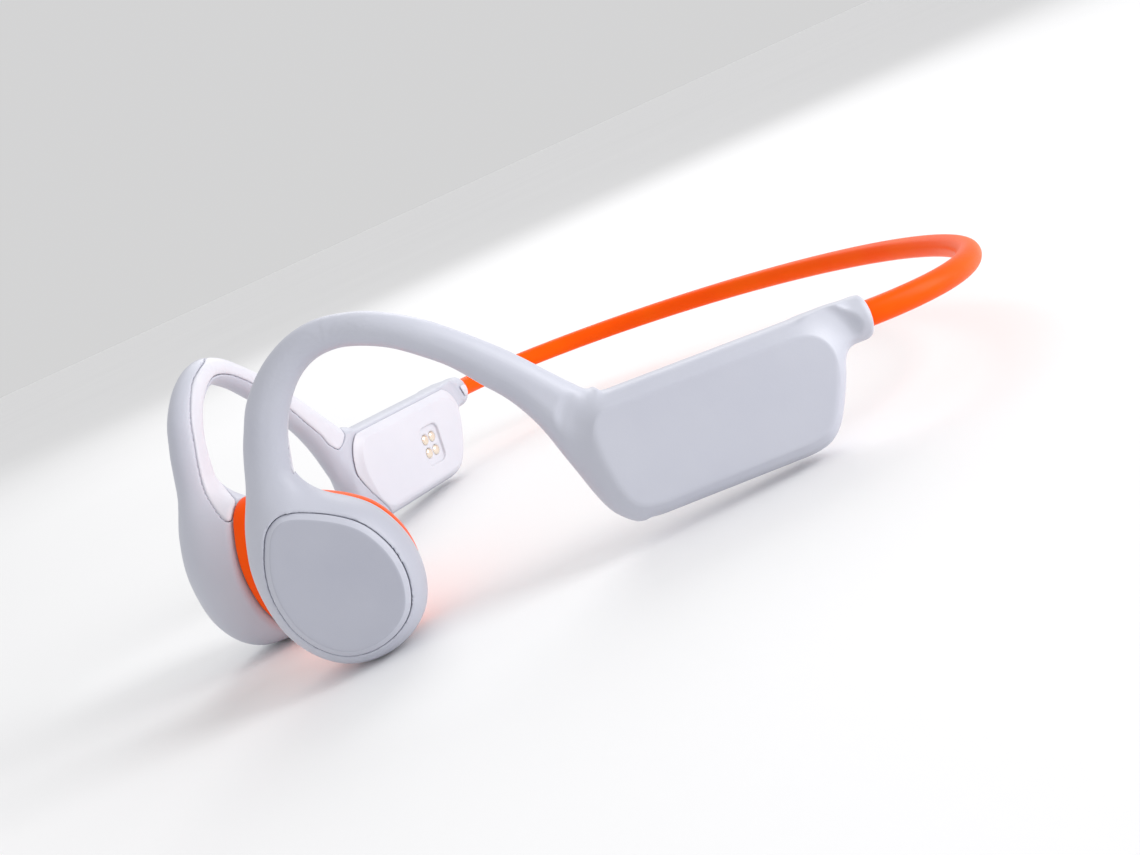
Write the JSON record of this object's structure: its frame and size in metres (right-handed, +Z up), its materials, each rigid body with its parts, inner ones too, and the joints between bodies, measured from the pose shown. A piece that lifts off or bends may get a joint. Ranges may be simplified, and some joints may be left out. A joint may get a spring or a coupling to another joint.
{
  "type": "bone conduction headphones",
  "caption": "Open-ear neckband headphones: a sprung band joins two arms, each a pod behind the ear, a hook over it and a transducer that rests on the cheekbone.",
  "frame": {"origin": "middle of the surface that the headphones stand on, below the centre of their box", "axes": "+Z up, the wearer faces -Y, the wearer's left side is +X"},
  "size_m": [0.1342, 0.143, 0.0484],
  "materials": {
    "soft_touch_shell": "satin soft-touch elastomer, cool grey with a faint lavender cast",
    "inner_cover": "satin moulded plastic, near white",
    "disc_face": "fine matte texture, blue grey",
    "orange_silicone": "satin silicone, bright orange",
    "spring_steel": "drawn wire",
    "driver_steel": "plated sheet steel",
    "nickel_magnet": "nickel plate",
    "copper_winding": "enamelled copper winding",
    "lead_jacket": "thin matte jacket",
    "circuit_board": "solder mask",
    "black_plastic": "moulded, matte",
    "battery_foil": "laminate pouch foil",
    "gold_contact": "gold-flashed contact"
  },
  "bodies": {
    "neckband": {"neckband_sleeve": "orange_silicone", "neckband_spring_wire": "spring_steel", "neckband_lead_cable": "lead_jacket"},
    "left_arm": {"left_arm_shell": "soft_touch_shell", "left_pod_inner_cover": "inner_cover", "left_hook_inner_strip": "inner_cover", "left_hook_spring_wire": "spring_steel", "left_band_ferrule": "spring_steel", "left_driver_yoke": "driver_steel", "left_driver_magnet": "nickel_magnet", "left_pole_plate": "driver_steel", "left_suspension_spring": "spring_steel", "left_button_board": "circuit_board", "left_tactile_switch": "black_plastic", "left_battery": "battery_foil"},
    "left_driver": {"left_skin_contact_pad": "orange_silicone", "left_contact_plate": "driver_steel", "left_voice_coil": "copper_winding"},
    "multifunction_key": {"left_multifunction_button": "disc_face"},
    "right_arm": {"right_arm_shell": "soft_touch_shell", "right_pod_inner_cover": "inner_cover", "right_hook_inner_strip": "inner_cover", "right_hook_spring_wire": "spring_steel", "right_band_ferrule": "spring_steel", "right_driver_yoke": "driver_steel", "right_driver_magnet": "nickel_magnet", "right_pole_plate": "driver_steel", "right_suspension_spring": "spring_steel", "right_transducer_cap": "disc_face", "right_main_board": "circuit_board", "right_shield_can": "nickel_magnet", "right_contact_carrier": "black_plastic", "right_charging_contact_1": "gold_contact", "right_charging_contact_2": "gold_contact", "right_charging_contact_3": "gold_contact", "right_charging_contact_4": "gold_contact", "right_dock_magnet_1": "nickel_magnet", "right_dock_magnet_2": "nickel_magnet", "right_volume_up_switch": "black_plastic", "right_volume_down_switch": "black_plastic", "right_microphone": "nickel_magnet"},
    "right_driver": {"right_skin_contact_pad": "orange_silicone", "right_contact_plate": "driver_steel", "right_voice_coil": "copper_winding"},
    "volume_up_key": {"right_volume_up_button": "soft_touch_shell"},
    "volume_down_key": {"right_volume_down_button": "soft_touch_shell"}
  },
  "joints": [
    {"name": "left_arm_flex", "type": "hinge", "parent": "neckband", "child": "left_arm", "pos_m": [0.056, 0.04635, 0.01307], "axis": [0, 0, 1], "range_deg": [-3, 30], "stiffness_Nm_per_rad": 0.28, "deforming": ["neckband_sleeve", "neckband_spring_wire", "neckband_lead_cable"]},
    {"name": "right_arm_flex", "type": "hinge", "parent": "neckband", "child": "right_arm", "pos_m": [-0.056, 0.04635, 0.01307], "axis": [0, 0, -1], "range_deg": [-3, 30], "stiffness_Nm_per_rad": 0.28, "deforming": ["neckband_sleeve", "neckband_spring_wire", "neckband_lead_cable"]},
    {"name": "multifunction_button_press", "type": "slide", "parent": "left_arm", "child": "multifunction_key", "axis": [-0.8641, 0.4987, -0.0679], "range_m": [0, 0.0003], "stiffness_N_per_m": 3000},
    {"name": "volume_up_press", "type": "slide", "parent": "right_arm", "child": "volume_up_key", "axis": [0.0503, 0.1179, 0.9918], "range_m": [0, 0.00035], "stiffness_N_per_m": 3000},
    {"name": "volume_down_press", "type": "slide", "parent": "right_arm", "child": "volume_down_key", "axis": [0.0503, 0.1179, 0.9918], "range_m": [0, 0.00035], "stiffness_N_per_m": 3000},
    {"name": "left_driver_travel", "type": "slide", "parent": "left_arm", "child": "left_driver", "axis": [-0.8641, 0.4987, -0.0679], "range_m": [-0.00025, 0.00025], "stiffness_N_per_m": 1900},
    {"name": "right_driver_travel", "type": "slide", "parent": "right_arm", "child": "right_driver", "axis": [0.8641, 0.4987, -0.0679], "range_m": [-0.00025, 0.00025], "stiffness_N_per_m": 1900}
  ]
}
